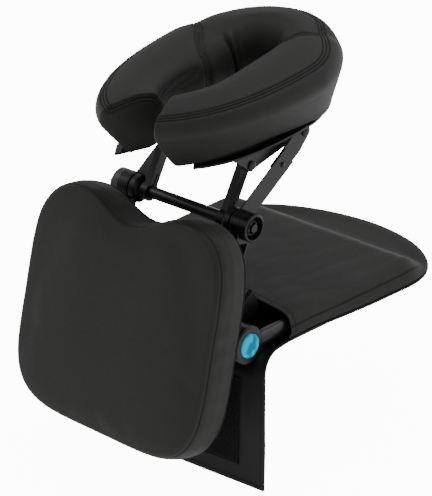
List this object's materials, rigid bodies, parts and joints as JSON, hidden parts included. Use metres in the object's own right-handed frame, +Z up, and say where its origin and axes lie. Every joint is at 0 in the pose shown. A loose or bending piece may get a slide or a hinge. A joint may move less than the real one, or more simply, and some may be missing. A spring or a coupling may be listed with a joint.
{
  "type": "desktop massage face cradle and chest support",
  "caption": "Desktop massage support: a padded horseshoe face cradle and a notched chest pad on a folding frame that lies on a desk under a vinyl sheet.",
  "frame": {"origin": "On the underside of the base sheet where it lies on the desk, on the plane of symmetry, 150 mm behind the desk edge that the sheet folds over.", "axes": "+Z up off the desk; +Y away from the sitter, back over the desk; +X to the right of a sitter who faces the desk."},
  "size_m": [0.338, 0.5385, 0.516],
  "materials": {
    "sheet_vinyl": "soft matt leatherette",
    "cushion_vinyl": "soft matt leatherette over foam",
    "hook_and_loop": "ribbed loop tape",
    "cap_blue": "high gloss",
    "tube_aluminium": "black anodised, satin",
    "painted_steel": "black powder coat",
    "bolt_steel": "dark zinc",
    "board_wood": "plywood behind the cover",
    "rubber": "matt",
    "black_plastic": "moulded, fine texture"
  },
  "bodies": {
    "base": {"base_sheet": "sheet_vinyl", "top_sheet": "sheet_vinyl", "rear_cross_tube": "tube_aluminium", "front_cross_shaft": "painted_steel", "side_rail_right": "tube_aluminium", "side_rail_left": "tube_aluminium", "rail_elbow_right": "black_plastic", "rail_elbow_left": "black_plastic", "rail_saddle_front_right": "rubber", "rail_saddle_front_left": "rubber", "rail_saddle_rear_right": "rubber", "rail_saddle_rear_left": "rubber", "knuckle_housing_right": "black_plastic", "knuckle_housing_left": "black_plastic", "knuckle_cap_right": "cap_blue", "knuckle_cap_left": "cap_blue"},
    "flap": {"front_flap": "sheet_vinyl", "flap_loop_panel": "hook_and_loop"},
    "uprights": {"crossbar": "painted_steel", "hub_bolt": "bolt_steel", "cam_post": "bolt_steel", "upright_arm_right": "black_plastic", "upright_arm_left": "black_plastic", "hub_cap_right": "black_plastic", "hub_cap_left": "black_plastic"},
    "cam_lever": {"cam_lever": "bolt_steel"},
    "lock_lever_right": {"lock_lever_right": "black_plastic"},
    "lock_lever_left": {"lock_lever_left": "black_plastic"},
    "cradle_struts": {"front_strut_right": "black_plastic", "front_strut_left": "black_plastic", "clamp_screw_right": "bolt_steel", "clamp_screw_left": "bolt_steel", "clutch_drum_right": "black_plastic", "clutch_drum_left": "black_plastic"},
    "brace_lower": {"brace_lower_right": "tube_aluminium", "brace_lower_left": "tube_aluminium", "brace_rivet_right": "bolt_steel", "brace_rivet_left": "bolt_steel"},
    "brace_upper": {"brace_upper_right": "tube_aluminium", "brace_upper_left": "tube_aluminium"},
    "platform": {"platform_plate": "black_plastic", "hook_strip": "hook_and_loop", "platform_bracket_right": "black_plastic", "platform_bracket_left": "black_plastic", "front_pivot_bolt_right": "bolt_steel", "front_pivot_bolt_left": "bolt_steel", "rear_pivot_bolt_right": "bolt_steel", "rear_pivot_bolt_left": "bolt_steel"},
    "cushion": {"face_cushion": "cushion_vinyl"},
    "pad_clamp": {"pad_clamp_block": "black_plastic"},
    "pad_lock_knob": {"pad_lock_knob": "black_plastic"},
    "chest_pad": {"chest_pad": "cushion_vinyl", "pad_board": "board_wood", "pad_track": "tube_aluminium"}
  },
  "joints": [
    {"name": "flap_swing", "type": "hinge", "parent": "base", "child": "flap", "pos_m": [0, -0.1503, -0.0003], "axis": [1, 0, 0], "range_deg": [-18, 0]},
    {"name": "uprights_fold", "type": "hinge", "parent": "base", "child": "uprights", "pos_m": [0, -0.164, 0.0265], "axis": [1, 0, 0], "range_deg": [-20, 4]},
    {"name": "cam_lever_flip", "type": "hinge", "parent": "uprights", "child": "cam_lever", "pos_m": [-0.116, -0.106, 0.1525], "axis": [0, 1, 0], "range_deg": [0, 85]},
    {"name": "lock_lever_right_lift", "type": "hinge", "parent": "base", "child": "lock_lever_right", "pos_m": [0.105, -0.164, 0.0265], "axis": [1, 0, 0], "range_deg": [0, 14], "stiffness_Nm_per_rad": 0.08, "springref_deg": -17.19},
    {"name": "lock_lever_left_lift", "type": "hinge", "parent": "base", "child": "lock_lever_left", "pos_m": [-0.105, -0.164, 0.0265], "axis": [1, 0, 0], "range_deg": [0, 14], "stiffness_Nm_per_rad": 0.08, "springref_deg": -17.19},
    {"name": "cradle_swing", "type": "hinge", "parent": "uprights", "child": "cradle_struts", "pos_m": [0, -0.106, 0.1525], "axis": [1, 0, 0], "range_deg": [-15, 8]},
    {"name": "platform_tilt", "type": "hinge", "parent": "cradle_struts", "child": "platform", "pos_m": [0, -0.07, 0.2155], "axis": [1, 0, 0], "range_deg": [-10, 8]},
    {"name": "brace_turn", "type": "hinge", "parent": "cradle_struts", "child": "brace_lower", "pos_m": [0, -0.106, 0.1525], "axis": [1, 0, 0], "range_deg": [-7, 7]},
    {"name": "brace_slide", "type": "slide", "parent": "brace_lower", "child": "brace_upper", "axis": [0, 0.8444, 0.5357], "range_m": [-0.007, 0.007]},
    {"name": "cushion_lift_off", "type": "slide", "parent": "platform", "child": "cushion", "axis": [0, -0.0872, 0.9962], "range_m": [0, 0.08]},
    {"name": "pad_tilt", "type": "hinge", "parent": "base", "child": "pad_clamp", "pos_m": [0, -0.164, 0.0265], "axis": [1, 0, 0], "range_deg": [-8, 6]},
    {"name": "pad_height", "type": "slide", "parent": "pad_clamp", "child": "chest_pad", "axis": [0, 0.2309, 0.973], "range_m": [-0.045, 0]},
    {"name": "pad_knob_turn", "type": "hinge", "parent": "pad_clamp", "child": "pad_lock_knob", "pos_m": [0, -0.14941, 0.02304], "axis": [0, 0.973, -0.2309], "range_deg": [0, 270]}
  ],
  "couplings": [
    {"joint": "brace_turn", "follows": "platform_tilt", "ratio": 0.5768},
    {"joint": "brace_slide", "follows": "platform_tilt", "m_per_rad": 0.03391}
  ]
}
